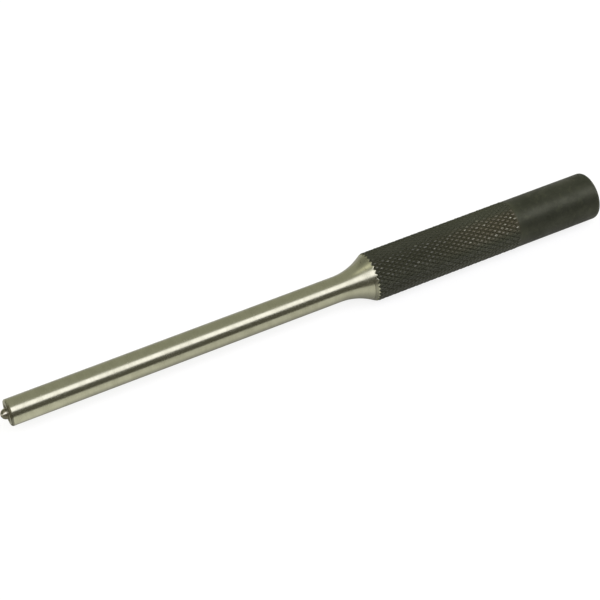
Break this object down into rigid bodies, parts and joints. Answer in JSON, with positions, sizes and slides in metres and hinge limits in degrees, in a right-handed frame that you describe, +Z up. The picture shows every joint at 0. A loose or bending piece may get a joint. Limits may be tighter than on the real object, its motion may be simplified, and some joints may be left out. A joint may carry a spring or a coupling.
{
  "type": "pin punch",
  "caption": "Solid steel pin punch with a round-nosed pilot, a parallel ground shank, a concave flare, a diamond-knurled grip and a plain struck end.",
  "frame": {"origin": "on the surface that the punch lies on, below the middle of its length", "axes": "+X along the punch from its pilot to its struck face, +Z up from the surface it lies on"},
  "size_m": [0.1556, 0.012, 0.012],
  "materials": {
    "ground_steel": "bright, ground along the shank",
    "turned_steel": "bright, with fine turning marks",
    "black_oxide": "satin black oxide, worn on the knurl's crests"
  },
  "bodies": {
    "root": {"pilot_nub": "ground_steel", "driving_shank": "ground_steel", "flare": "turned_steel", "knurled_grip": "black_oxide", "struck_end": "black_oxide"}
  },
  "joints": []
}
